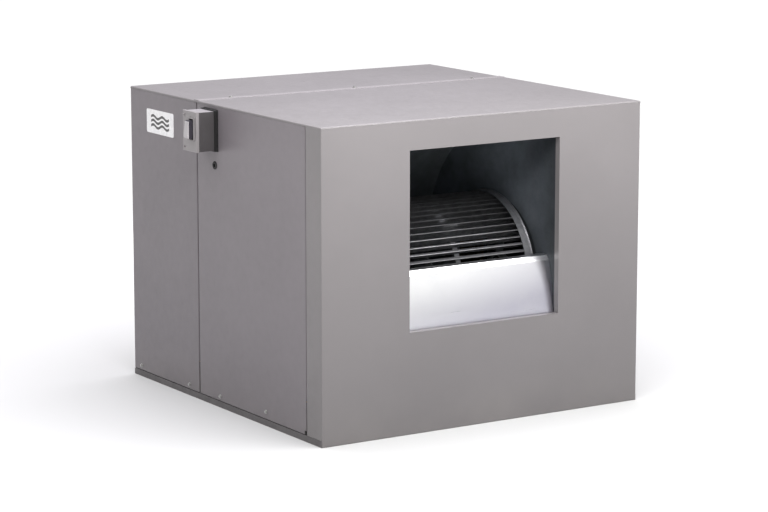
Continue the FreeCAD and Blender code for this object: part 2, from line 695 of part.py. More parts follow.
def balance_clips():
    """Two spring clips pinched on blade tips' inner edges, which balance the wheel."""
    clips = []
    root = WHEEL_RADIUS - 0.8 - BLADE_DEPTH
    for x, angle in ((12.0, 131.0), (96.0, 251.0)):
        clip = box((x, x + 26), (AXIS_Y - 3.4, AXIS_Y + 3.4), (AXIS_Z + root - 5.5, AXIS_Z + root + 5))
        clips.append(clip.rotate(AXIS, Vector(1, 0, 0), angle - 90))
    return clips


def blower_shaft():
    shaft = along_x((-332, 296), AXIS_Y, AXIS_Z, SHAFT_RADIUS)
    return shaft.makeChamfer(1.2, [e for e in shaft.Edges if e.Closed])


def shaft_collars():
    """Set collars just inside the bearings."""
    collar = ring_x((HOUSING_HALF - 15, HOUSING_HALF - 1), AXIS_Y, AXIS_Z, 22, SHAFT_RADIUS)
    return [collar, mirror_x(collar)]


# ---------------------------------------------------------------- belt drive
def pulley(y, z, radius, hub_radius, bore, face=22.0, spokes=0):
    """V-belt pulley in the belt plane."""
    x = BELT_PLANE
    half = face / 2
    groove_depth = BELT_DEPTH + 3
    bottom = radius - groove_depth
    web = 3.0
    rim_in = bottom - 4
    profile = [(x - half, radius), (x - 7.0, radius), (x - 5.3, bottom), (x + 5.3, bottom),
               (x + 7.0, radius), (x + half, radius), (x + half, rim_in)]
    if rim_in > hub_radius + 8:
        profile += [(x + web, rim_in), (x + web, hub_radius), (x + half + 4, hub_radius),
                    (x + half + 4, bore), (x - half - 4, bore), (x - half - 4, hub_radius),
                    (x - web, hub_radius), (x - web, rim_in), (x - half, rim_in)]
    else:
        profile += [(x + half, hub_radius), (x + half + 4, hub_radius), (x + half + 4, bore),
                    (x - half, bore)]
    wheel = revolve_x(profile, y, z)
    if spokes:
        hole_radius = (rim_in + hub_radius) / 2
        size = (rim_in - hub_radius) / 2 - 7
        holes = [cylinder((x - 9, y, z + hole_radius), size, 18, (1, 0, 0))
                 .rotate(Vector(0, y, z), Vector(1, 0, 0), 360 * i / spokes)
                 for i in range(spokes)]
        wheel = wheel.cut(Part.makeCompound(holes))
    return wheel


def blower_pulley():
    return pulley(AXIS_Y, AXIS_Z, BLOWER_PULLEY_RADIUS, 30, SHAFT_RADIUS, spokes=5)


def motor_pulley():
    return pulley(MOTOR_Y, MOTOR_Z, MOTOR_PULLEY_RADIUS, 18, MOTOR_SHAFT_RADIUS)


def belt_loop(offset, x):
    """Two arcs around the pulleys and the two straight runs between them, as one wire."""
    big = BLOWER_PULLEY_RADIUS + offset
    small = MOTOR_PULLEY_RADIUS + offset
    dy = MOTOR_Y - AXIS_Y
    dz = MOTOR_Z - AXIS_Z
    span = math.hypot(dy, dz)
    heading = math.atan2(dz, dy)
    open_angle = math.acos((big - small) / span)

    def on(centre, radius, angle):
        return Vector(x, centre[0] + radius * math.cos(angle), centre[1] + radius * math.sin(angle))

    blower = (AXIS_Y, AXIS_Z)
    motor = (MOTOR_Y, MOTOR_Z)
    upper = heading + open_angle
    lower = heading - open_angle
    big_upper, big_lower = on(blower, big, upper), on(blower, big, lower)
    small_upper, small_lower = on(motor, small, upper), on(motor, small, lower)
    return Part.Wire([Part.Arc(big_upper, on(blower, big, heading + math.pi), big_lower).toShape(),
                      Part.LineSegment(big_lower, small_lower).toShape(),
                      Part.Arc(small_lower, on(motor, small, heading), small_upper).toShape(),
                      Part.LineSegment(small_upper, big_upper).toShape()])


def drive_belt():
    """The belt, a constant section clear of both grooves' bottoms."""
    x = BELT_PLANE - BELT_WIDTH / 2
    top = -1.0
    outer = Part.Face(belt_loop(top, x)).extrude(Vector(BELT_WIDTH, 0, 0))
    inner = Part.Face(belt_loop(top - BELT_DEPTH, x - 1)).extrude(Vector(BELT_WIDTH + 2, 0, 0))
    return outer.cut(inner)


MOTOR_X = (-500.0, -352.0)
SHELF_TOP = 556.0


def motor_body():
    """Stator band of the motor with a ribbed outside."""
    core = ring_x(MOTOR_X, MOTOR_Y, MOTOR_Z, MOTOR_RADIUS, MOTOR_RADIUS - 12)
    grooves = [ring_x((x, x + 3), MOTOR_Y, MOTOR_Z, MOTOR_RADIUS + 1, MOTOR_RADIUS - 1.5)
               for x in (-484, -371)]
    box_top = box((-470, -400), (MOTOR_Y - 62, MOTOR_Y - 10), (MOTOR_Z + 50, MOTOR_Z + 88))
    core = join([core, box_top.cut(along_x((-501, -351), MOTOR_Y, MOTOR_Z, MOTOR_RADIUS - 6))])
    return core.cut(Part.makeCompound(grooves))


def motor_end_bells():
    """Two end bells, each with a ring of vents and a resilient mounting collar."""
    bells = []
    for face, side in ((MOTOR_X[1], 1), (MOTOR_X[0], -1)):
        def at(distance):
            return face + side * distance
        profile = [(at(0), MOTOR_RADIUS), (at(3), MOTOR_RADIUS), (at(10), MOTOR_RADIUS - 10),
                   (at(12), 30), (at(20), 28), (at(20), MOTOR_SHAFT_RADIUS + RUNNING_GAP),
                   (at(6), MOTOR_SHAFT_RADIUS + RUNNING_GAP), (at(6), 30), (at(0), MOTOR_RADIUS - 12)]
        bell = revolve_x(profile, MOTOR_Y, MOTOR_Z)
        start = at(-2) if side > 0 else at(20)
        vents = [cylinder((start, MOTOR_Y, MOTOR_Z + 52), 6.5, 22, (1, 0, 0))
                 .rotate(Vector(0, MOTOR_Y, MOTOR_Z), Vector(1, 0, 0), 30 * i) for i in range(12)]
        bells.append(bell.cut(Part.makeCompound(vents)))
    return bells


def motor_shaft():
    shaft = along_x((-514, -291), MOTOR_Y, MOTOR_Z, MOTOR_SHAFT_RADIUS)
    rotor = along_x((-478, -374), MOTOR_Y, MOTOR_Z, 55)
    return join([shaft, rotor])


def motor_mount():
    """Cantilever shelf on the housing with two saddles under the motor."""
    shelf = box((-506, -340), (-62, 112), (SHELF_TOP - 3, SHELF_TOP))
    arm = box((-341, -257), (64, 112), (SHELF_TOP - 3, SHELF_TOP))
    back = box((-HOUSING_HALF - SHEET - 3.2, -HOUSING_HALF - SHEET - 0.2), (50, 116), (470, 640))
    rib = prism_xz([(-258, 480), (-258, SHELF_TOP - 3), (-500, SHELF_TOP - 3), (-500, SHELF_TOP - 24)],
                   (109, 112))
    front_lip = box((-506, -340), (-62, -59), (SHELF_TOP - 22, SHELF_TOP))
    saddles = []
    for x in ((-498, -486), (-368, -356)):
        block = box(x, (MOTOR_Y - 60, MOTOR_Y + 60), (SHELF_TOP, MOTOR_Z - 40))
        saddles.append(block.cut(along_x((x[0] - 1, x[1] + 1), MOTOR_Y, MOTOR_Z, MOTOR_RADIUS)))
    return join([shelf, arm, back, rib, front_lip] + saddles)


# ---------------------------------------------------------------- water system
def pump_volute():
    """Pump base: a slotted strainer skirt with the volute and its outlet spigot above it."""
    z = PUMP_BASE
    skirt = revolve_z([(54, z), (58, z), (58, z + 22), (40, z + 26), (40, z + 50), (9, z + 50),
                       (9, z + 46), (37, z + 46), (37, z + 23), (54, z + 19)], PUMP_X, PUMP_Y)
    slots = []
    for i in range(18):
        slot = box((PUMP_X + 50, PUMP_X + 60), (PUMP_Y - 3, PUMP_Y + 3), (z + 4, z + 16))
        slots.append(slot.rotate(Vector(PUMP_X, PUMP_Y, 0), Vector(0, 0, 1), 20 * i))
    outlet = upright(PUMP_X, PUMP_Y + 48, (z + 28, z + 66), HOSE_RADIUS - 2)
    chamber = box((PUMP_X - 10, PUMP_X + 10), (PUMP_Y + 37.5, PUMP_Y + 58), (z + 27, z + 44))
    bore = upright(PUMP_X, PUMP_Y + 48, (z + 34, z + 70), HOSE_RADIUS - 3.8)
    passage = cylinder((PUMP_X, PUMP_Y + 34, z + 36), 4, 14, (0, 1, 0))
    base = skirt.cut(Part.makeCompound(slots))
    return join([base, chamber, outlet]).cut(join([bore, passage]))


def pump_motor():
    """Sealed pump motor above the volute on three stand-offs."""
    z = PUMP_BASE + 58
    body = revolve_z([(0, z), (38, z), (40, z + 3), (40, z + 78), (36, z + 84), (14, z + 88), (0, z + 88)],
                     PUMP_X, PUMP_Y)
    fins = [box((PUMP_X - 43, PUMP_X + 43), (PUMP_Y - 1.2, PUMP_Y + 1.2), (z + 8, z + 74))
            .rotate(Vector(PUMP_X, PUMP_Y, 0), Vector(0, 0, 1), 15 + 30 * i) for i in range(6)]
    legs = []
    for i in range(3):
        leg = upright(PUMP_X + 33, PUMP_Y, (PUMP_BASE + 50, z + 1), 3.5)
        legs.append(leg.rotate(Vector(PUMP_X, PUMP_Y, 0), Vector(0, 0, 1), 120 * i + 30))
    shaft_hole = upright(PUMP_X, PUMP_Y, (z - 1, z + 20), 3.06)
    return join([body] + fins + legs).cut(shaft_hole)


def pump_impeller():
    """Impeller with five vanes on its thin upright shaft."""
    z = PUMP_BASE + 26
    disc = upright(PUMP_X, PUMP_Y, (z + 12, z + 14), 30)
    vanes = [box((PUMP_X + 6, PUMP_X + 29), (PUMP_Y - 1, PUMP_Y + 1), (z + 2, z + 12.5))
             .rotate(Vector(PUMP_X, PUMP_Y, 0), Vector(0, 0, 1), 72 * i) for i in range(5)]
    hub = upright(PUMP_X, PUMP_Y, (z + 1, z + 16), 8)
    shaft = upright(PUMP_X, PUMP_Y, (z + 2, PUMP_BASE + 58 + 18), 3.0)
    return join([disc, hub, shaft] + vanes)


HOSE_START = (PUMP_X, PUMP_Y + 48.0, PUMP_BASE + 44.5)


def supply_hose():
    """Hose from the pump up beside the media to the distributor pipe."""
    spigot_x = HEADER_LEFT + 16
    route = [HOSE_START,
             (PUMP_X, PUMP_Y + 48, PUMP_BASE + 130),
             (PUMP_X - 40, PUMP_Y + 85, 300),
             (PUMP_X - 62, PUMP_Y + 112, 560),
             (spigot_x, PUMP_Y + 130, HEADER_Z),
             (spigot_x, HEADER_Y - 19, HEADER_Z)]
    return tube_along(route, HOSE_RADIUS, inner=HOSE_RADIUS - 2)


def float_valve_body():
    """Inlet valve clipped on the pan wall, with the fork that carries the arm."""
    x, y, z = FLOAT_PIVOT
    wall = LEFT + PAN_INSET + SHEET
    stem = cylinder((wall + 0.2, y - 24, z + 4), 8, 30, (1, 0, 0))
    clip = box((wall + 0.2, wall + 3.2), (y - 44, y - 4), (z - 24, PAN_WALL_TOP + 2))
    nut = cylinder((wall + 3.2, y - 24, z + 4), 13, 7, (1, 0, 0))
    body = box((wall + 26, x + 12), (y - 36, y - 12), (z - 10, z + 16))
    cheeks = [box((x + side - 2, x + side + 2), (y - 14, y + 9), (z - 8, z + 8)) for side in (-7, 7)]
    pin = along_x((x - 9, x + 9), y, z, 2.5)
    return join([stem, clip, nut, body, pin] + cheeks)


def float_arm_shape(shape):
    """Turns a shape built along +Y from the pivot down to the droop."""
    return shape.rotate(Vector(*FLOAT_PIVOT), Vector(1, 0, 0), -FLOAT_DROOP)


def float_arm():
    x, y, z = FLOAT_PIVOT
    eye = ring_x((x - 4, x + 4), y, z, 6.5, 2.56)
    rod = cylinder((x, y + 5.5, z), 2.4, FLOAT_ARM - 5.5, (0, 1, 0))
    return float_arm_shape(join([eye, rod]).cut(along_x((x - 5, x + 5), y, z, 2.56)))


def float_ball():
    x, y, z = FLOAT_PIVOT
    radius = 28.0
    ball = Part.makeSphere(radius, Vector(x, y + FLOAT_ARM + radius - 6, z))
    socket = cylinder((x, y + FLOAT_ARM - 12, z), 5, 12, (0, 1, 0))
    hole = cylinder((x, y + FLOAT_ARM - 40, z), 2.4, 40, (0, 1, 0))
    return float_arm_shape(join([ball, socket]).cut(hole))


def drain_nipple():
    """Brass threaded nipple through the pan floor, flanged above it."""
    x, y = DRAIN
    low = 4.0
    floor = PAN_FLOOR + SHEET
    neck = PAN_FLOOR - 9.5
    profile = [(8.8, low), (DRAIN_THREAD_RADIUS, low), (DRAIN_THREAD_RADIUS, neck),
               (DRAIN_NECK_RADIUS, neck), (DRAIN_NECK_RADIUS, floor), (22, floor), (22, floor + 3.5),
               (DRAIN_BORE_RADIUS, floor + 3.5), (DRAIN_BORE_RADIUS, floor - 6), (8.8, floor - 6)]
    return revolve_z(profile, x, y)


def drain_nut():
    x, y = DRAIN
    prism = hexagon(Vector(x, y, PAN_FLOOR - 9), Vector(0, 0, 1), 21.0, 8.8)
    return prism.cut(upright(x, y, (0, 60), DRAIN_NECK_RADIUS))


def overflow_pipe():
    """Stand pipe in the drain nipple: its top sets the highest water level."""
    x, y = DRAIN
    floor = PAN_FLOOR + SHEET
    outer = DRAIN_BORE_RADIUS - RUNNING_GAP * 2
    inner = outer - 2
    profile = [(inner, floor - 5.5), (outer, floor - 5.5), (outer, floor + 3.6), (14, floor + 3.6),
               (14, floor + 9), (outer, floor + 9), (outer, 99), (inner, 99)]
    return revolve_z(profile, x, y)


# ---------------------------------------------------------------- electrics and trim
KNOCKOUT_X = LEFT - 30.0


def junction_box():
    """Folded box with a rear ear plate on the post and a conduit hole underneath."""
    shell = tray((BOX_OUT + 1.4, LEFT + 2.6), (BOX_FRONT, BOX_REAR), (BOX_LOW, BOX_HIGH), "+x",
                 thickness=1.2, radius=1.4)
    ear_z = (BOX_LOW - 6, BOX_HIGH + 6)
    ear = box((LEFT + 2.6, LEFT + 3.8), (BOX_FRONT - 8, SEAM_Y - POST_HALF - 0.1), ear_z)
    leg_y = (SEAM_Y - POST_HALF - 0.1 - SHEET, SEAM_Y - POST_HALF - 0.1)
    leg = box((LEFT + 2.6, POST_FACE + 20), leg_y, ear_z)
    plate = box((LEFT + 1.4, LEFT + 2.6), (BOX_FRONT + 1, BOX_REAR - 1), (BOX_LOW + 1, BOX_HIGH - 1))
    shell = join([shell, plate, ear, leg])
    lead_way = along_x((LEFT - 5, LEFT + 6), LEAD_Y, LEAD_Z, 6.4)
    pump_way = along_x((LEFT - 5, LEFT + 6), PUMP_LEAD_Y, LEAD_Z, 5.0)
    knockout = upright(KNOCKOUT_X, KNOCKOUT_Y, (BOX_LOW - 3, BOX_LOW + 3), KNOCKOUT_RADIUS)
    return shell.cut(Part.makeCompound([lead_way, pump_way, knockout]))


def box_gasket():
    """Rubber gasket around the box; it closes the gap to the access panel."""
    y = (BOX_FRONT - GASKET_THICK, BOX_REAR + GASKET_THICK)
    z = (BOX_LOW - GASKET_THICK, BOX_HIGH + GASKET_THICK)
    x = (LEFT - GASKET_DEPTH, LEFT + 2.5)
    ring = box(x, y, z)
    ring = ring.makeFillet(2.0, [e for e in ring.Edges if abs(e.tangentAt(e.FirstParameter).x) > 0.5])
    return ring.cut(box((x[0] - 1, x[1] + 1), (BOX_FRONT, BOX_REAR), (BOX_LOW, BOX_HIGH)))


def junction_box_cover():
    """Cover of the box with the raised frame that holds the isolator rocker."""
    cover = tray((BOX_OUT, BOX_OUT + 9), (BOX_FRONT - 1.3, BOX_REAR + 1.3), (BOX_LOW - 1.3, BOX_HIGH + 1.3),
                 "-x", thickness=1.2, radius=1.6)
    cover = cover.cut(box((BOX_OUT + 1.2, LEFT), (BOX_FRONT, BOX_REAR), (BOX_LOW, BOX_HIGH)))
    window = box((BOX_OUT - 1, BOX_OUT + 3), (SWITCH_Y[0] + 2.5, SWITCH_Y[1] - 2.5),
                 (SWITCH_Z[0] + 2.5, SWITCH_Z[1] - 2.5))
    frame_x = (BOX_OUT - 3.5, BOX_OUT + 0.2)
    frame = box(frame_x, SWITCH_Y, SWITCH_Z)
    frame = frame.makeFillet(1.5, [e for e in frame.Edges if abs(e.CenterOfMass.x - frame_x[0]) < 0.01])
    hole = box((BOX_OUT - 9, BOX_OUT + 3), (SWITCH_Y[0] + 2.5, SWITCH_Y[1] - 2.5),
               (SWITCH_Z[0] + 2.5, SWITCH_Z[1] - 2.5))
    screws = [screw((BOX_OUT, y, z), (-1, 0, 0), head=4.0, shank=1.8, length=6)
              for y, z in ((BOX_REAR - 9, BOX_HIGH - 10), (BOX_REAR - 9, BOX_LOW + 10))]
    return join([cover.cut(window), frame.cut(hole)] + screws)


SWITCH_PIVOT = (BOX_OUT - 4.0, 0.0, (SWITCH_Z[0] + SWITCH_Z[1]) / 2)


def switch_paddle():
    """Rocker of the isolator, stored tipped to its upper stop."""
    y = (SWITCH_Y[0] + 4, SWITCH_Y[1] - 4)
    middle = SWITCH_PIVOT[2]
    reach = (SWITCH_Z[1] - SWITCH_Z[0]) / 2 - 6.5
    x_in = BOX_OUT - 2.0
    x_out = BOX_OUT - SWITCH_PROUD
    outline = [(x_in, middle - reach), (x_in, middle + reach), (x_out + 4, middle + reach),
               (x_out, middle + reach - 5), (x_out, middle - reach + 5), (x_out + 4, middle - reach)]
    rocker = prism_xz(outline, y)
    rounded = [e for e in rocker.Edges if e.CenterOfMass.x < x_out + 5
               and abs(e.tangentAt(e.FirstParameter).y) < 0.5]
    rocker = rocker.makeFillet(0.9, rounded)
    return rocker.rotate(Vector(*SWITCH_PIVOT), Vector(0, 1, 0), SWITCH_TILT)


def motor_cable():
    """Armoured lead from the box down to the terminal cover on the motor."""
    route = [(LEFT + 3.8, LEAD_Y, LEAD_Z), (LEFT + 46, LEAD_Y, LEAD_Z),
             (-446, LEAD_Y - 26, LEAD_Z + 26), (-436, MOTOR_Y - 36, LEAD_Z + 8),
             (-436, MOTOR_Y - 36, MOTOR_Z + 88)]
    return tube_along(route, 6.0)


def pump_cable():
    """Lead from the box, down the post to the pump motor."""
    route = [(LEFT + 3.8, PUMP_LEAD_Y, LEAD_Z), (LEFT + 22, PUMP_LEAD_Y, LEAD_Z),
             (LEFT + 20, PUMP_LEAD_Y + 18, LEAD_Z - 60), (LEFT + 20.5, PUMP_LEAD_Y + 31, 560),
             (LEFT + 20.5, PUMP_LEAD_Y + 31, 380), (LEFT + 42, PUMP_LEAD_Y + 22, 262),
             (PUMP_X - 14, PUMP_Y + 10, 240), (PUMP_X, PUMP_Y, 212),
             (PUMP_X, PUMP_Y, PUMP_BASE + 58 + 88)]
    return tube_along(route, 3.5)


def water_line_grommet():
    """Rubber grommet in the left access panel for the water line."""
    y, z = GROMMET
    sheet = SHEET
    profile = [(LEFT - 2.5, 5.2), (LEFT - 2.5, 10.5), (LEFT - 0.8, 11.8), (LEFT, 11.8), (LEFT, GROMMET_HOLE),
               (LEFT + sheet, GROMMET_HOLE), (LEFT + sheet, 11.8), (LEFT + sheet + 2.5, 10.5),
               (LEFT + sheet + 2.5, 5.2)]
    return revolve_x(profile, y, z)


def badge_plate():
    """Plain name plate with rounded corners, held by the side panel."""
    plate = box((LEFT - 1.0, LEFT), (360 - 82.5, 360 + 82.5), (786 - 35, 786 + 35))
    return plate.makeFillet(6, [e for e in plate.Edges if abs(e.tangentAt(e.FirstParameter).x) > 0.5])


def cabinet_screws():
    """Screws of the fixed panels: rear corners, roof lap and media panels."""
    places = []
    for side in (-1, 1):
        x = side * (WIDTH / 2)
        places += [((x, y, z), (side, 0, 0)) for y in (200.0, 500.0) for z in (33.0,)]
        places += [((side * (WIDTH / 2 - 24), REAR, z), (0, 1, 0)) for z in (170.0, 480.0, 790.0)]
    places += [((x, ROOF_SEAM_Y - 10, HEIGHT + SHEET), (0, 0, 1)) for x in (-420.0, 0.0, 420.0)]
    return [screw(point, direction, length=3.0) for point, direction in places]


PARTS = {
    "base_pan": base_pan, "base_skids": base_skids, "front_panel": front_panel,
    "roof_front_panel": roof_front_panel, "roof_rear_panel": roof_rear_panel,
    "left_media_panel": media_panel, "right_media_panel": lambda: mirror_x(media_panel()),
    "cabinet_posts": cabinet_posts, "media_frame": media_frame,
    "media_pad_1": lambda: media_pad(0), "media_pad_2": lambda: media_pad(1),
    "media_pad_3": lambda: media_pad(2), "media_support_rails": media_support_rails,
    "distribution_hood": distribution_hood, "distributor_pipe": distributor_pipe,
    "supply_hose": supply_hose,
    "left_access_panel": left_access_panel, "right_access_panel": right_access_panel,
    "left_panel_screws": access_panel_screws,
    "right_panel_screws": lambda: [mirror_x(s) for s in access_panel_screws()],
    "water_line_grommet": water_line_grommet,
    "blower_right_side": side_plate, "blower_left_side": lambda: mirror_x(side_plate()),
    "scroll_wrap": scroll_wrap, "cutoff_plate": cutoff_plate,
    "inlet_rings": lambda: [inlet_ring(), mirror_x(inlet_ring())],
    "blower_rails": blower_rails,
    "bearing_brackets": lambda: [bearing_bracket(), mirror_x(bearing_bracket())],
    "shaft_bearings": lambda: [shaft_bearing(), mirror_x(shaft_bearing())],
    "wheel_blades": wheel_blades, "wheel_end_rings": wheel_end_rings,
    "wheel_center_plate": wheel_center_plate, "wheel_hub": wheel_hub,
    "balance_clips": balance_clips, "blower_shaft": blower_shaft, "shaft_collars": shaft_collars,
    "blower_pulley": blower_pulley, "motor_pulley": motor_pulley, "drive_belt": drive_belt,
    "motor_body": motor_body, "motor_end_bells": motor_end_bells, "motor_shaft": motor_shaft,
    "motor_mount": motor_mount,
    "pump_volute": pump_volute, "pump_motor": pump_motor, "pump_impeller": pump_impeller,
    "float_valve_body": float_valve_body, "float_arm": float_arm, "float_ball": float_ball,
    "drain_nipple": drain_nipple, "drain_nut": drain_nut, "overflow_pipe": overflow_pipe,
    "junction_box": junction_box, "box_gasket": box_gasket, "junction_box_cover": junction_box_cover,
    "switch_paddle": switch_paddle, "motor_cable": motor_cable, "pump_cable": pump_cable,
    "badge_plate": badge_plate, "cabinet_screws": cabinet_screws,
}


def main():
    os.makedirs("parts", exist_ok=True)
    for name, make in PARTS.items():
        made = make()
        shape = Part.makeCompound(made) if isinstance(made, list) else made
        assert shape.isValid(), name
        shape.exportStep("parts/" + name + ".step")
        print(name, len(shape.Solids), "solids", round(shape.Volume / 1000, 1), "cm3")


main()
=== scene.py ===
"""Looks of the evaporative cooler: materials on the CAD nodes, fluted pads, and black blocks in the
panel notches as painted shade.
"""
import json
import math
import random

import bmesh
import bpy
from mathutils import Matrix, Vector


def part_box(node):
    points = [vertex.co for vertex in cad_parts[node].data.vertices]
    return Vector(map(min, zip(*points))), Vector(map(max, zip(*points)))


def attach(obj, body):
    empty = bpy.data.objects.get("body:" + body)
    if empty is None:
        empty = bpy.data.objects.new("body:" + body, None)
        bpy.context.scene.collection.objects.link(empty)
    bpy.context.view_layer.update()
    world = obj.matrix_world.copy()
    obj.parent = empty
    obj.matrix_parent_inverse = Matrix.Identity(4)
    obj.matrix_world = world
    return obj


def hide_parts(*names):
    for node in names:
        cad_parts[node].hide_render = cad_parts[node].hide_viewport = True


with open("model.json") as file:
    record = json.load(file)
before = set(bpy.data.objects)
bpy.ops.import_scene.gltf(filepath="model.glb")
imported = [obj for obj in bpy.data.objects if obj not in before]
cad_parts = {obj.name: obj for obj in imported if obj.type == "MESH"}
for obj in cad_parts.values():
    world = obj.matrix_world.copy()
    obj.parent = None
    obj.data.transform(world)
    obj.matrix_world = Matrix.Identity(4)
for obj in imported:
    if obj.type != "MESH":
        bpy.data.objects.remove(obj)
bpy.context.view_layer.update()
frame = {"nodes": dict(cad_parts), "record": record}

nodes = frame["nodes"]
scene = bpy.context.scene

# ---------------------------------------------------------------- camera, light and floor
CAMERA_AZIMUTH = -32.478     # degrees; 0 looks along +Y
CAMERA_DOWN = 10.405
CAMERA_AT = Vector((-4.3956, -6.9263, 1.8995))
LENS = 132.75                # mm
SENSOR_WIDTH = 36.0
HORIZON, ZENITH = 0.12, 1.62     # brightness of the surroundings
FLOOR_HALF = 60.0                # metres
FLOOR_TONES = ((0.9, 0.66), (3.0, 0.9))     # distance from the middle, grey there
WHITE, VIOLET_WHITE = (1, 1, 1), (0.89, 0.86, 1.0)
LAMPS = (                        # name, place, target, size, watts, colour
    ("key", (0.0, -1.25, 1.5), (0.0, -0.5, 0.6), (2.4, 0.4), 23.5, WHITE),
    ("roof", (0.0, 0.3, 2.0), (0.0, 0.3, 0.9), (1.8, 1.6), 22.5, VIOLET_WHITE),
    ("front", (1.7, -3.1, 1.05), (0.0, -0.5, 0.4), (1.6, 1.1), 4.2, WHITE),
    ("fill", (-0.7, -3.2, 0.85), (0.3, 0.0, 0.65), (1.2, 0.9), 2.6, WHITE),
    ("rear", (0.4, 2.9, 0.5), (0.0, 0.5, 0.45), (1.6, 0.6), 5.0, WHITE),
)


def make_camera():
    data = bpy.data.cameras.new("camera")
    data.lens = LENS
    data.sensor_width = SENSOR_WIDTH
    camera = bpy.data.objects.new("camera", data)
    camera.location = CAMERA_AT
    azimuth, down = math.radians(CAMERA_AZIMUTH), math.radians(CAMERA_DOWN)
    forward = Vector((-math.sin(azimuth) * math.cos(down), math.cos(azimuth) * math.cos(down),
                      -math.sin(down)))
    camera.rotation_euler = forward.to_track_quat("-Z", "Y").to_euler()
    scene.collection.objects.link(camera)
    scene.camera = camera


def area_light(name, at, target, size, power, colour):
    data = bpy.data.lights.new(name, "AREA")
    data.shape = "RECTANGLE"
    data.size, data.size_y = size
    data.energy = power
    data.color = colour
    light = bpy.data.objects.new(name, data)
    light.location = at
    light.rotation_euler = (Vector(target) - Vector(at)).to_track_quat("-Z", "Y").to_euler()
    light.visible_camera = False
    scene.collection.objects.link(light)


def make_world():
    """Soft white surroundings: dim at the horizon, bright overhead like a studio ceiling."""
    world = bpy.data.worlds.new("studio")
    world.use_nodes = True
    tree = world.node_tree
    place = tree.nodes.new("ShaderNodeTexCoord")
    split = tree.nodes.new("ShaderNodeSeparateXYZ")
    rise = tree.nodes.new("ShaderNodeMapRange")
    rise.interpolation_type = "SMOOTHSTEP"
    rise.inputs["From Min"].default_value = 0.0
    rise.inputs["From Max"].default_value = 1.0
    rise.inputs["To Min"].default_value = HORIZON
    rise.inputs["To Max"].default_value = ZENITH
    tree.links.new(place.outputs["Generated"], split.inputs["Vector"])
    tree.links.new(split.outputs["Z"], rise.inputs["Value"])
    tree.links.new(rise.outputs["Result"], tree.nodes["Background"].inputs["Strength"])
    tree.nodes["Background"].inputs["Color"].default_value = (1.0, 1.0, 1.0, 1)
    scene.world = world


# ---------------------------------------------------------------- material kit
class Finish:
    """A node material under construction: a Principled shader with texture helpers."""

    def __init__(self, name, **sockets):
        self.material = bpy.data.materials.new(name)
        self.material.use_nodes = True
        self.tree = self.material.node_tree
        self.shader = self.tree.nodes["Principled BSDF"]
        self.place = self.tree.nodes.new("ShaderNodeTexCoord").outputs["Object"]
        for key, value in sockets.items():
            socket = key.replace("_", " ").title().replace("Ior", "IOR")
            self.shader.inputs[socket].default_value = value

    def node(self, kind, inputs=(), **settings):
        made = self.tree.nodes.new("ShaderNode" + kind)
        for key, value in settings.items():
            setattr(made, key, value)
        for key, value in dict(inputs).items():
            if isinstance(value, bpy.types.NodeSocket):
                self.tree.links.new(value, made.inputs[key])
            else:
                made.inputs[key].default_value = value
        return made

    def stretched(self, scale):
        """Object coordinates scaled differently along each axis."""
        return self.node("Mapping", {"Vector": self.place, "Scale": scale}).outputs["Vector"]

    def noise(self, scale, detail=3.0, place=None, roughness=0.55):
        return self.node("TexNoise", {"Vector": place or self.place, "Scale": scale, "Detail": detail,
                                      "Roughness": roughness}).outputs["Fac"]

    def cells(self, scale):
        """One random tone per crystal of the given scale."""
        colour = self.node("TexVoronoi", {"Vector": self.place, "Scale": scale}).outputs["Color"]
        return self.node("SeparateColor", {"Color": colour}).outputs["Red"]

    def facing_up(self):
        """1 on level upper faces, 0 on upright and lower ones."""
        normal = self.tree.nodes.new("ShaderNodeTexCoord").outputs["Normal"]
        return self.span(self.node("SeparateXYZ", {"Vector": normal}).outputs["Z"], 0.5, 0.95)

    def coordinate(self, axis):
        """One object coordinate, in metres."""
        return self.node("SeparateXYZ", {"Vector": self.place}).outputs[axis]

    def span(self, value, low, high, to_low=0.0, to_high=1.0):
        return self.node("MapRange", {"Value": value, "From Min": low, "From Max": high,
                                      "To Min": to_low, "To Max": to_high}).outputs["Result"]

    def maths(self, operation, a, b=0.0):
        made = self.tree.nodes.new("ShaderNodeMath")
        made.operation = operation
        for i, value in enumerate((a, b)):
            if isinstance(value, bpy.types.NodeSocket):
                self.tree.links.new(value, made.inputs[i])
            else:
                made.inputs[i].default_value = value
        return made.outputs[0]

    def mix(self, fac, a, b):
        made = self.tree.nodes.new("ShaderNodeMix")
        made.data_type = "RGBA"
        for key, value in (("Factor", fac), ("A", a), ("B", b)):
            socket = [s for s in made.inputs if s.name == key and
                      (s.type == ("VALUE" if key == "Factor" else "RGBA"))][0]
            if isinstance(value, bpy.types.NodeSocket):
                self.tree.links.new(value, socket)
            else:
                socket.default_value = value if key == "Factor" else (*value, 1)
        return [s for s in made.outputs if s.type == "RGBA"][0]

    def link(self, value, socket):
        self.tree.links.new(value, self.shader.inputs[socket])

    def bump(self, *layers):
        """Stacks (height, strength, distance in metres) layers into the normal."""
        normal = None
        for height, strength, distance in layers:
            made = self.tree.nodes.new("ShaderNodeBump")
            made.inputs["Strength"].default_value = strength
            made.inputs["Distance"].default_value = distance
            self.tree.links.new(height, made.inputs["Height"])
            if normal:
                self.tree.links.new(normal, made.inputs["Normal"])
            normal = made.outputs["Normal"]
        self.tree.links.new(normal, self.shader.inputs["Normal"])


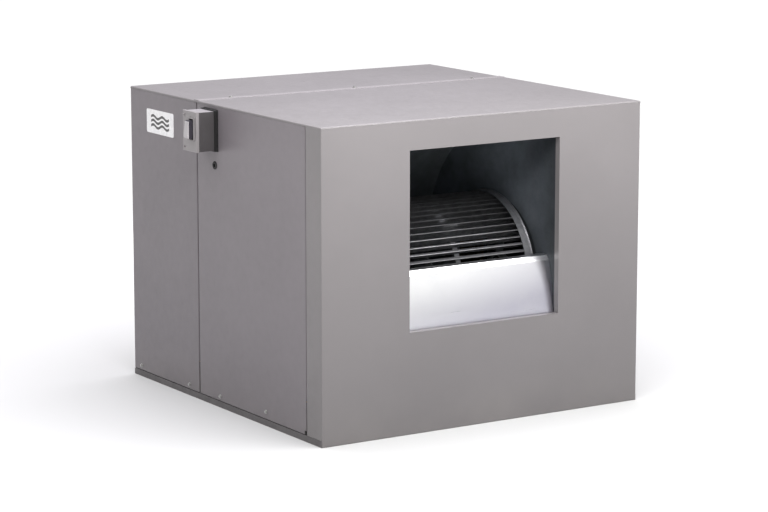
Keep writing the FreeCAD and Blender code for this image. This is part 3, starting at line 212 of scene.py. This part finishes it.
def make_floor():
    """A wide plain floor, painted greyer near the cooler: painted shade that also lessens the light it
    bounces onto the cabinet.
    """
    mesh = bpy.data.meshes.new("floor")
    corners = [(x * FLOOR_HALF, y * FLOOR_HALF, 0) for x, y in ((-1, -1), (1, -1), (1, 1), (-1, 1))]
    mesh.from_pydata(corners, [], [(0, 1, 2, 3)])
    floor = bpy.data.objects.new("floor", mesh)
    scene.collection.objects.link(floor)
    finish = Finish("floor", roughness=0.8)
    reach = finish.node("VectorMath", {0: finish.place}, operation="LENGTH").outputs["Value"]
    (near, near_grey), (far, far_grey) = FLOOR_TONES
    # painted shade: the floor is greyer near the cooler
    tone = finish.mix(finish.span(reach, near, far), (near_grey,) * 3, (far_grey,) * 3)
    finish.link(tone, "Base Color")
    mesh.materials.append(finish.material)


def make_studio():
    make_world()
    make_floor()
    for lamp in LAMPS:
        area_light(*lamp)
    scene.view_settings.view_transform = "Standard"


def shade(colour, factor):
    return tuple(min(1.0, c * factor) for c in colour)


PAINT = (0.207, 0.193, 0.196)
# painted shade: the side panels' paints are darker, more violet copies of PAINT, for the less lit
# sides
SHADED_ACCESS_PAINT = (0.197, 0.177, 0.190)
SHADED_MEDIA_PANEL_PAINT = (0.1836, 0.1646, 0.1773)
SPLASH_TOP = 0.14            # metres above the floor; dust from splashes lies below this
PAINTED_SHADE_TOP = 0.70              # painted shade: the paint darkens evenly from here down to the floor
LAP_HIGHLIGHT_REACH = (0.012, 0.034)     # from the lapped edge: painted highlight full, painted highlight gone


def cabinet_paint(name, colour, lap_highlight_from=None):
    """Baked enamel: fine orange peel, long shallow waves of the sheet, faint dust and handling marks,
    and painted shade that darkens it towards the floor.

    The third argument is the y of a lapped front edge; a paler band painted behind it is the edge's
    painted highlight.
    """
    finish = Finish(name, specular_ior_level=0.45, coat_weight=0.12, coat_roughness=0.25)
    clouds = finish.noise(3.2, 4)
    marks = finish.noise(38, 6, roughness=0.7)
    tone = finish.mix(finish.span(clouds, 0.35, 0.65), shade(colour, 0.965), shade(colour, 1.035))
    tone = finish.mix(finish.span(marks, 0.62, 0.78, 0, 0.14), tone, shade(colour, 0.8))
    splashed = finish.span(finish.coordinate("Z"), SPLASH_TOP, 0.0)
    dust_and_painted_light = finish.maths("MULTIPLY", splashed, finish.span(clouds, 0.3, 0.7))
    tone = finish.mix(finish.maths("MULTIPLY", dust_and_painted_light, 0.16), tone, (0.42, 0.39, 0.34))
    # painted shade: the tone darkens evenly towards the floor
    film_and_painted_shade = finish.span(finish.coordinate("Z"), PAINTED_SHADE_TOP, 0.0, 0.0, 0.3)
    tone = finish.mix(film_and_painted_shade, tone, shade(colour, 0.55))
    if lap_highlight_from is not None:
        # painted highlight: a paler band just behind the lapped edge
        fully, ends = (lap_highlight_from + distance for distance in LAP_HIGHLIGHT_REACH)
        painted_highlight = finish.span(finish.coordinate("Y"), fully, ends, 0.5, 0.0)
        tone = finish.mix(painted_highlight, tone, shade(colour, 1.7))
    finish.link(tone, "Base Color")
    finish.link(finish.span(marks, 0.3, 0.75, 0.33, 0.5), "Roughness")
    rolled = finish.noise(1.0, 2, place=finish.stretched((0.5, 4.5, 4.5)))
    finish.bump((rolled, 0.16, 0.006), (finish.noise(900, 1), 0.03, 0.0004))
    return finish.material


TIDE_BOTTOM = (0.020, 0.028)     # metres: the mark starts, is full
TIDE_TOP = (0.085, 0.070)        # the mark ends, is full


def pan_paint():
    """The pan's darker enamel, with a pale tide mark up to the water line."""
    finish = Finish("pan_paint", roughness=0.45, specular_ior_level=0.45)
    marks = finish.noise(26, 6, roughness=0.72)
    height = finish.coordinate("Z")
    tide = finish.maths("MULTIPLY", finish.span(height, *TIDE_TOP), finish.span(height, *TIDE_BOTTOM))
    tone = finish.mix(finish.span(marks, 0.35, 0.75), shade(PAINT, 0.60), shade(PAINT, 0.46))
    scale = finish.maths("MULTIPLY", tide, finish.span(marks, 0.3, 0.8, 0.05, 0.35))
    tone = finish.mix(scale, tone, (0.46, 0.43, 0.36))
    finish.link(tone, "Base Color")
    finish.link(finish.span(marks, 0.3, 0.8, 0.38, 0.62), "Roughness")
    finish.bump((finish.noise(560, 2), 0.08, 0.0006))
    return finish.material


def galvanised(name, colour, rough):
    """Zinc coat: crystals of differing tone and gloss, with fine rolling marks."""
    flake, contrast = 55.0, 0.14
    finish = Finish(name, metallic=1.0)
    crystals = finish.cells(flake)
    feather = finish.noise(flake * 5, 4, roughness=0.7)
    crystal_share = finish.maths("MULTIPLY", crystals, 0.7)
    spangle = finish.maths("ADD", crystal_share, finish.maths("MULTIPLY", feather, 0.3))
    tone = finish.mix(spangle, shade(colour, 1 - contrast), shade(colour, 1 + contrast))
    finish.link(tone, "Base Color")
    finish.link(finish.span(spangle, 0.1, 0.9, rough * 0.75, rough * 1.3), "Roughness")
    finish.bump((crystals, 0.04, 0.0006), (finish.noise(7, 1), 0.2, 0.002))
    return finish.material


HOUSING_REAR_LIGHT = (-0.50, -0.25)     # y where the painted light on the housing's rear begins, is full


def housing_coat(name, colour, rear_light_factor=1.0):
    """Dark matt coating over the blower housing, painted paler towards the rear by the factor of the
    third argument: painted light on its deeper, shaded part.
    """
    finish = Finish(name, specular_ior_level=0.3)
    clouds = finish.noise(9, 6, roughness=0.7)
    fine = finish.noise(240, 3)
    patches = finish.span(clouds, 0.3, 0.75)
    # painted light: the tone grows paler towards the rear of the housing
    front_tone = finish.mix(patches, colour, shade(colour, 1.9))
    rear_lit_tone = finish.mix(patches, shade(colour, rear_light_factor), shade(colour, 1.9 * rear_light_factor))
    rearward = finish.span(finish.coordinate("Y"), *HOUSING_REAR_LIGHT)
    finish.link(finish.mix(rearward, front_tone, rear_lit_tone), "Base Color")
    finish.link(finish.span(fine, 0.2, 0.8, 0.5, 0.72), "Roughness")
    finish.bump((fine, 0.2, 0.0008), (finish.noise(6, 1), 0.25, 0.003))
    return finish.material


def wheel_steel(name, colour, rough):
    """Dulled zinc coat of the wheel, with grime in patches."""
    finish = Finish(name, metallic=0.85)
    crystals = finish.cells(70)
    grime = finish.noise(22, 6, roughness=0.7)
    base = finish.mix(crystals, shade(colour, 0.88), shade(colour, 1.12))
    base = finish.mix(finish.span(grime, 0.5, 0.8, 0.0, 0.45), base, shade(colour, 0.3))
    finish.link(base, "Base Color")
    finish.link(finish.span(grime, 0.3, 0.75, rough * 0.8, rough * 1.25), "Roughness")
    finish.bump((finish.noise(160, 3), 0.12, 0.0006))
    return finish.material


def machined(name, colour, rough):
    """Turned steel: fine rings around the x axis, and a thin film of oil and dust."""
    finish = Finish(name, metallic=1.0)
    rings = finish.noise(1.0, 2, place=finish.stretched((900, 6, 6)))
    film_and_painted_shade = finish.noise(30, 5, roughness=0.7)
    tone = finish.mix(finish.span(film_and_painted_shade, 0.4, 0.8, 0, 0.5), colour, shade(colour, 0.5))
    finish.link(tone, "Base Color")
    finish.link(finish.span(rings, 0.2, 0.8, rough * 0.8, rough * 1.4), "Roughness")
    finish.bump((rings, 0.15, 0.0002))
    return finish.material


def cast_iron():
    """Dark painted iron with a cast grain."""
    finish = Finish("pulley_iron", metallic=0.75)
    grain = finish.noise(420, 5, roughness=0.7)
    tone = finish.mix(finish.noise(30, 4), (0.07, 0.075, 0.08), (0.13, 0.135, 0.14))
    finish.link(tone, "Base Color")
    finish.link(finish.span(grain, 0.3, 0.7, 0.42, 0.62), "Roughness")
    finish.bump((grain, 0.3, 0.0006))
    return finish.material


def dark_rubber(name, colour=(0.025, 0.025, 0.026), rough=0.62):
    """Black rubber with a pale bloom in patches."""
    finish = Finish(name, specular_ior_level=0.35)
    bloom = finish.noise(60, 5, roughness=0.7)
    tone = finish.mix(finish.span(bloom, 0.45, 0.8, 0, 0.4), colour, shade(colour, 2.6))
    finish.link(tone, "Base Color")
    finish.link(finish.span(bloom, 0.3, 0.7, rough * 0.85, rough * 1.15), "Roughness")
    finish.bump((finish.noise(900, 2), 0.12, 0.0003))
    return finish.material


def motor_enamel():
    """Black semi-gloss paint, dusty in patches."""
    finish = Finish("motor_paint", coat_weight=0.2, coat_roughness=0.3)
    marks = finish.noise(44, 6, roughness=0.7)
    rear_lit_tone = finish.span(marks, 0.5, 0.8, 0, 0.5)
    finish.link(finish.mix(rear_lit_tone, (0.022, 0.023, 0.025), (0.07, 0.068, 0.062)), "Base Color")
    finish.link(finish.span(marks, 0.3, 0.7, 0.3, 0.48), "Roughness")
    finish.bump((finish.noise(500, 3), 0.12, 0.0005))
    return finish.material


def die_cast():
    """Dull cast aluminium of the motor's end bells."""
    finish = Finish("bell_aluminium", metallic=0.9)
    grain = finish.noise(300, 4)
    tone = finish.mix(finish.noise(25, 4), (0.36, 0.37, 0.38), (0.52, 0.53, 0.54))
    finish.link(tone, "Base Color")
    finish.link(finish.span(grain, 0.3, 0.7, 0.4, 0.56), "Roughness")
    finish.bump((grain, 0.25, 0.0005))
    return finish.material


def moulded(name, colour, rough, chalk=0.25):
    """Moulded plastic with a fine grain and a slight uneven gloss."""
    finish = Finish(name, specular_ior_level=0.5)
    clouds = finish.noise(24, 5, roughness=0.65)
    tone = finish.mix(finish.span(clouds, 0.35, 0.8, 0, chalk), colour, shade(colour, 1.5))
    finish.link(tone, "Base Color")
    finish.link(finish.span(clouds, 0.3, 0.7, rough * 0.85, rough * 1.25), "Roughness")
    finish.bump((finish.noise(700, 2), 0.1, 0.0003))
    return finish.material


def brass():
    """Yellow brass, tarnished brown in patches."""
    finish = Finish("valve_brass", metallic=1.0)
    tarnish = finish.noise(48, 6, roughness=0.7)
    tone = finish.mix(finish.span(tarnish, 0.35, 0.75), (0.78, 0.56, 0.24), (0.42, 0.29, 0.13))
    finish.link(tone, "Base Color")
    finish.link(finish.span(tarnish, 0.3, 0.7, 0.24, 0.5), "Roughness")
    finish.bump((finish.noise(300, 3), 0.08, 0.0003))
    return finish.material


SCALE_TOP, SCALE_FULL = 0.30, 0.09     # heights, in metres, between which lime scale grows


def media_paper():
    """Resin-stiffened fluted paper: fibres, uneven resin, paler scale at the bottom."""
    finish = Finish("media_paper", specular_ior_level=0.2)
    resin = finish.noise(14, 6, roughness=0.68)
    fibre = finish.noise(1.0, 4, place=finish.stretched((260, 260, 1300)))
    tone = finish.mix(finish.span(resin, 0.3, 0.72), (0.245, 0.150, 0.070), (0.40, 0.265, 0.135))
    tone = finish.mix(finish.span(fibre, 0.45, 0.75, 0, 0.35), tone, (0.50, 0.36, 0.20))
    scaled = finish.span(finish.coordinate("Z"), SCALE_TOP, SCALE_FULL)
    scale = finish.maths("MULTIPLY", scaled, finish.span(resin, 0.4, 0.7))
    tone = finish.mix(finish.maths("MULTIPLY", scale, 0.45), tone, (0.62, 0.58, 0.50))
    finish.link(tone, "Base Color")
    finish.link(finish.span(resin, 0.3, 0.7, 0.62, 0.85), "Roughness")
    finish.bump((fibre, 0.25, 0.0005))
    return finish.material


WAVE_LENGTH = 0.056
WAVE_HEIGHT = 0.0042         # above and below its own middle line
WAVE_PITCH = 0.0135          # from one wave to the next
LINE_SHARE = (0.30, 0.27)    # of the pitch on each side: where a line ends, is solid
ROWS_REACH = 1.5             # rows printed above and below the middle, in pitches
SIGN_REACH = 0.056           # half the length of the printed sign


def badge_enamel():
    """White enamel plate printed with a plain sign for moving air: three dark waves."""
    finish = Finish("badge_enamel", coat_weight=0.3, coat_roughness=0.12)
    clouds = finish.noise(30, 4)
    low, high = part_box("badge_plate")
    along = finish.maths("SUBTRACT", finish.coordinate("Y"), (low.y + high.y) / 2)
    up = finish.maths("SUBTRACT", finish.coordinate("Z"), (low.z + high.z) / 2)
    turn = finish.maths("MULTIPLY", along, 2 * math.pi / WAVE_LENGTH)
    wave = finish.maths("MULTIPLY", finish.maths("SINE", turn), WAVE_HEIGHT)
    level = finish.maths("DIVIDE", finish.maths("ADD", up, wave), WAVE_PITCH)
    off_line = finish.maths("SUBTRACT", level, finish.maths("ROUND", level))
    printed = finish.span(finish.maths("ABSOLUTE", off_line), *LINE_SHARE)
    for reach, value in ((ROWS_REACH, level), (SIGN_REACH, along)):
        inside = finish.span(finish.maths("ABSOLUTE", value), reach, reach * 0.99)
        printed = finish.maths("MULTIPLY", printed, inside)
    enamel = finish.mix(clouds, (0.82, 0.81, 0.82), (0.87, 0.86, 0.87))
    finish.link(finish.mix(printed, enamel, (0.022, 0.020, 0.022)), "Base Color")
    finish.link(finish.span(clouds, 0.3, 0.7, 0.22, 0.34), "Roughness")
    finish.bump((finish.noise(400, 2), 0.05, 0.0003))
    return finish.material


def zinc_screw():
    """Zinc plated screw heads."""
    finish = Finish("screw_zinc", metallic=1.0)
    clouds = finish.noise(180, 4)
    finish.link(finish.mix(clouds, (0.42, 0.42, 0.41), (0.60, 0.60, 0.58)), "Base Color")
    finish.link(finish.span(clouds, 0.3, 0.7, 0.3, 0.46), "Roughness")
    finish.bump((finish.noise(600, 2), 0.1, 0.0002))
    return finish.material


def bright_sheet():
    """Clean aluminium-coated sheet: fine grain, hand marks, and painted shade that makes it darker and
    more violet towards its lower right corner, where its reflected light falls off.
    """
    finish = Finish("bright_sheet", metallic=1.0)
    grain = finish.noise(1.0, 3, place=finish.stretched((6, 220, 220)))
    marks = finish.noise(16, 5, roughness=0.6)
    low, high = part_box("cutoff_plate")
    # painted shade: the tone darkens towards the plate's lower right corner
    painted_falloff = finish.maths("SUBTRACT", finish.span(finish.coordinate("X"), low.x, high.x, 0.0, 0.55),
                          finish.span(finish.coordinate("Z"), low.z, high.z, 0.0, 0.75))
    tone = finish.mix(finish.span(painted_falloff, -0.45, 0.25), (0.98, 0.98, 0.985), (0.64, 0.63, 0.71))
    tone = finish.mix(finish.span(marks, 0.4, 0.8, 0, 0.3), tone, (0.80, 0.80, 0.83))
    finish.link(tone, "Base Color")
    finish.link(finish.span(grain, 0.25, 0.75, 0.27, 0.35), "Roughness")
    finish.bump((grain, 0.004, 0.0002), (finish.noise(3.0, 1), 0.12, 0.002))
    return finish.material


def shaded_box_enamel():
    """Box paint with a fine texture: dark grey, as painted shade on the box's sides, and pale on its
    level tops, as painted top light.
    """
    finish = Finish("shaded_box_enamel", specular_ior_level=0.5)
    clouds = finish.noise(30, 4)
    # painted shade: the body's grey is dark so that its sides read as shaded
    tone = finish.mix(clouds, (0.058, 0.053, 0.055), (0.082, 0.076, 0.078))
    # painted light: level tops are made pale, as if lit from above
    dust_and_painted_light = finish.maths("MULTIPLY", finish.facing_up(), 0.8)
    finish.link(finish.mix(dust_and_painted_light, tone, (0.36, 0.34, 0.35)), "Base Color")
    finish.link(finish.span(clouds, 0.3, 0.7, 0.3, 0.42), "Roughness")
    finish.bump((finish.noise(800, 3), 0.2, 0.0003))
    return finish.material


ROCKER_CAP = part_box("switch_paddle")[0].x + 0.006     # x where the pale cap meets the body
CAP_EDGE = 0.0002


def shaded_rocker_plastic():
    """Isolator rocker: pale cap on a body coloured dark as painted shade on the rocker's sides."""
    finish = Finish("shaded_rocker_plastic", specular_ior_level=0.5)
    cap = finish.span(finish.coordinate("X"), ROCKER_CAP + CAP_EDGE, ROCKER_CAP)
    clouds = finish.noise(60, 4)
    pale = finish.mix(clouds, (0.42, 0.40, 0.41), (0.50, 0.48, 0.49))
    # painted shade: the body behind the pale cap is dark, for the rocker's shaded sides
    painted_shade_body = finish.mix(clouds, (0.028, 0.025, 0.034), (0.040, 0.036, 0.046))
    finish.link(finish.mix(cap, painted_shade_body, pale), "Base Color")
    finish.link(finish.span(clouds, 0.3, 0.7, 0.3, 0.42), "Roughness")
    finish.bump((finish.noise(900, 2), 0.1, 0.0002))
    return finish.material


# ---------------------------------------------------------------- finish of each material slot
FINISHES = {
    "cabinet_paint": cabinet_paint("cabinet_paint", PAINT),
    "pan_paint": pan_paint(),
    "galvanised_sheet": galvanised("galvanised_sheet", (0.70, 0.71, 0.725), 0.34),
    # painted light: the housing sheet is four times paler towards its rear
    "housing_sheet": housing_coat("housing_coat", (0.030, 0.0335, 0.038), 4.0),
    "inlet_sheet": housing_coat("inlet_coat", (0.026, 0.028, 0.030)),
    "wheel_steel": wheel_steel("wheel_steel", (0.38, 0.38, 0.395), 0.42),
    "hub_steel": machined("hub_steel", (0.46, 0.46, 0.47), 0.32),
    "clip_steel": machined("clip_steel", (0.75, 0.75, 0.75), 0.22),
    "shaft_steel": machined("shaft_steel", (0.56, 0.56, 0.57), 0.24),
    "bearing_steel": dark_rubber("bearing_rubber", (0.04, 0.04, 0.042), 0.5),
    "pulley_iron": cast_iron(),
    "belt_rubber": dark_rubber("belt_rubber"),
    "motor_paint": motor_enamel(),
    "bell_aluminium": die_cast(),
    "media": media_paper(),
    "pipe_plastic": moulded("pipe_plastic", (0.62, 0.62, 0.59), 0.38),
    "hose_rubber": dark_rubber("hose_rubber", (0.03, 0.03, 0.032), 0.45),
    "pump_plastic": moulded("pump_plastic", (0.035, 0.075, 0.15), 0.42),
    "impeller_plastic": moulded("impeller_plastic", (0.6, 0.6, 0.57), 0.45),
    "valve_brass": brass(),
    "float_plastic": moulded("float_plastic", (0.55, 0.07, 0.03), 0.3, 0.1),
    "box_steel": shaded_box_enamel(),
    "switch_plastic": shaded_rocker_plastic(),
    "lead_sheath": dark_rubber("lead_sheath", (0.035, 0.035, 0.037), 0.5),
    "badge": badge_enamel(),
    "screw_steel": zinc_screw(),
    "grommet_rubber": dark_rubber("grommet_rubber", (0.015, 0.015, 0.015), 0.55),
}

# finishes of single nodes, in place of that of their slot
OWN_FINISHES = {
    "cutoff_plate": bright_sheet(),
    "wheel_end_rings": wheel_steel("ring_steel", (0.30, 0.30, 0.315), 0.40),
    # painted light: the scroll wrap and the blower's left side get paler copies of the housing coat,
    # for their shaded places
    "scroll_wrap": housing_coat("scroll_coat_painted_light", (0.125, 0.14, 0.15)),
    "blower_left_side": housing_coat("left_side_coat_painted_light", (0.13, 0.143, 0.152)),
    "junction_box_cover": cabinet_paint("cover_paint", shade(PAINT, 1.35)),
    "roof_rear_panel": cabinet_paint("rear_roof_paint", PAINT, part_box("roof_rear_panel")[0].y),
}
# painted shade: the side panels get the darker copies of the cabinet paint
for side in ("left", "right"):
    OWN_FINISHES[side + "_access_panel"] = cabinet_paint(side + "_access_shaded_paint", SHADED_ACCESS_PAINT)
    OWN_FINISHES[side + "_media_panel"] = cabinet_paint(side + "_media_shaded_paint", SHADED_MEDIA_PANEL_PAINT)


def dress_cad_nodes():
    """Gives each CAD node its own finish, or that of its material slot."""
    for part in frame["record"]["subparts"]:
        mesh = nodes[part["node"]].data
        mesh.materials.clear()
        mesh.materials.append(OWN_FINISHES.get(part["node"]) or FINISHES[part["material_slot"]])


def piece_from_bmesh(name, build, body, material, smooth=False):
    """Turns a bmesh into an object that rides on a body."""
    mesh = bpy.data.meshes.new(name)
    build.to_mesh(mesh)
    build.free()
    piece = bpy.data.objects.new(name, mesh)
    scene.collection.objects.link(piece)
    mesh.materials.append(material)
    for polygon in mesh.polygons:
        polygon.use_smooth = smooth
    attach(piece, body)
    return piece


# ---------------------------------------------------------------- rigid media
SHEET_PITCH = 0.0070             # metres, from one sheet to the next
FLUTE_LENGTH = 0.0165            # one full wave of a sheet
PAPER = 0.0005                   # thickness
STEPS_PER_FLUTE = 6
FLUTE_ANGLES = (45.0, -15.0)     # degrees above level, towards the rear, on alternate sheets
PARALLEL = 1e-9                  # a direction with less than this never crosses the edge
SHORTEST = 1e-4                  # metres; shorter stretches of a flute are left out
MEDIA_SEED = 7


def clip_to_pad(start, direction, low, high):
    """The stretch of a line that lies inside a rectangle, as two points, or None."""
    enter, leave = -math.inf, math.inf
    for i in range(2):
        if abs(direction[i]) < PARALLEL:
            if not low[i] <= start[i] <= high[i]:
                return None
            continue
        a, b = sorted(((low[i] - start[i]) / direction[i], (high[i] - start[i]) / direction[i]))
        enter, leave = max(enter, a), min(leave, b)
    if leave - enter < SHORTEST:
        return None
    return [tuple(start[i] + t * direction[i] for i in range(2)) for t in (enter, leave)]


def fluted_sheet(build, x, angle, low, high, phase):
    """One corrugated sheet in the plane of x, its flutes tilted by angle, as a strip of long quads."""
    along = (math.cos(math.radians(angle)), math.sin(math.radians(angle)))
    across = (-along[1], along[0])
    corners = [(y, z) for y in (low[0], high[0]) for z in (low[1], high[1])]
    reaches = [c[0] * across[0] + c[1] * across[1] for c in corners]
    step = FLUTE_LENGTH / STEPS_PER_FLUTE
    first = math.floor(min(reaches) / step)
    last = math.ceil(max(reaches) / step)
    amplitude = (SHEET_PITCH - 2 * PAPER) / 2
    previous = None
    for i in range(first, last + 1):
        distance = i * step
        start = (across[0] * distance, across[1] * distance)
        ends = clip_to_pad(start, along, low, high)
        if not ends:
            previous = None
            continue
        offset = amplitude * math.sin(2 * math.pi * distance / FLUTE_LENGTH + phase)
        rows = [[build.verts.new((x + offset + side * PAPER / 2, *end)) for end in ends]
                for side in (-1, 1)]
        if previous:
            (p0, p1), (p2, p3) = previous
            (q0, q1), (q2, q3) = rows
            build.faces.new((p0, p1, q1, q0))
            build.faces.new((p2, q2, q3, p3))
            build.faces.new((p0, q0, q2, p2))
            build.faces.new((p1, p3, q3, q1))
        else:
            build.faces.new((rows[0][0], rows[1][0], rows[1][1], rows[0][1]))
        previous = rows
    if previous:
        build.faces.new((previous[0][0], previous[0][1], previous[1][1], previous[1][0]))


def make_media():
    """Each pad is a stack of fluted sheets whose flutes cross, inside its CAD block."""
    rng = random.Random(MEDIA_SEED)
    for name in sorted(n for n in nodes if n.startswith("media_pad")):
        low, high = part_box(name)
        count = int((high.x - low.x) / SHEET_PITCH)
        margin = ((high.x - low.x) - count * SHEET_PITCH) / 2
        build = bmesh.new()
        for i in range(count):
            x = low.x + margin + (i + 0.5) * SHEET_PITCH
            fluted_sheet(build, x, FLUTE_ANGLES[i % 2], (low.y, low.z), (high.y, high.z),
                         rng.uniform(0, 2 * math.pi))
        pad = piece_from_bmesh(name + "_flutes", build, "cabinet", FINISHES["media"])
        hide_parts(name)


# ---------------------------------------------------------------- black blocks in the panel notches, as painted shade
NOTCH_BLOCK_SIZE = (0.0026, 0.0070, 0.0095)
NOTCH_BLOCK_BEVEL = 0.0011
NOTCH_BLOCK_INWARD = 0.0008             # its middle, from the panel's outer face
NOTCH_BLOCK_BACK = 0.0042               # its middle, from the panel's front edge
NOTCH_BLOCK_UP = 0.0058                 # its middle, from the panel's lower edge


def make_notch_shade_blocks():
    """A black block fills the notch at the lower front corner of each access panel: painted shade,
    standing in for the dark inside the notch.
    """
    for side, sign in (("left", -1), ("right", 1)):
        low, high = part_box(side + "_access_panel")
        face = low.x if sign < 0 else high.x
        build = bmesh.new()
        bmesh.ops.create_cube(build, size=1.0)
        bmesh.ops.scale(build, vec=NOTCH_BLOCK_SIZE, verts=build.verts)
        bmesh.ops.bevel(build, geom=build.edges[:], offset=NOTCH_BLOCK_BEVEL, segments=3, profile=0.5,
                        affect="EDGES")
        middle = (face - sign * NOTCH_BLOCK_INWARD, low.y + NOTCH_BLOCK_BACK, low.z + NOTCH_BLOCK_UP)
        bmesh.ops.translate(build, vec=middle, verts=build.verts)
        piece_from_bmesh("notch_shade_block_" + side, build, "cabinet",
                         FINISHES["grommet_rubber"], smooth=True)


make_camera()
make_studio()
dress_cad_nodes()
make_media()
make_notch_shade_blocks()
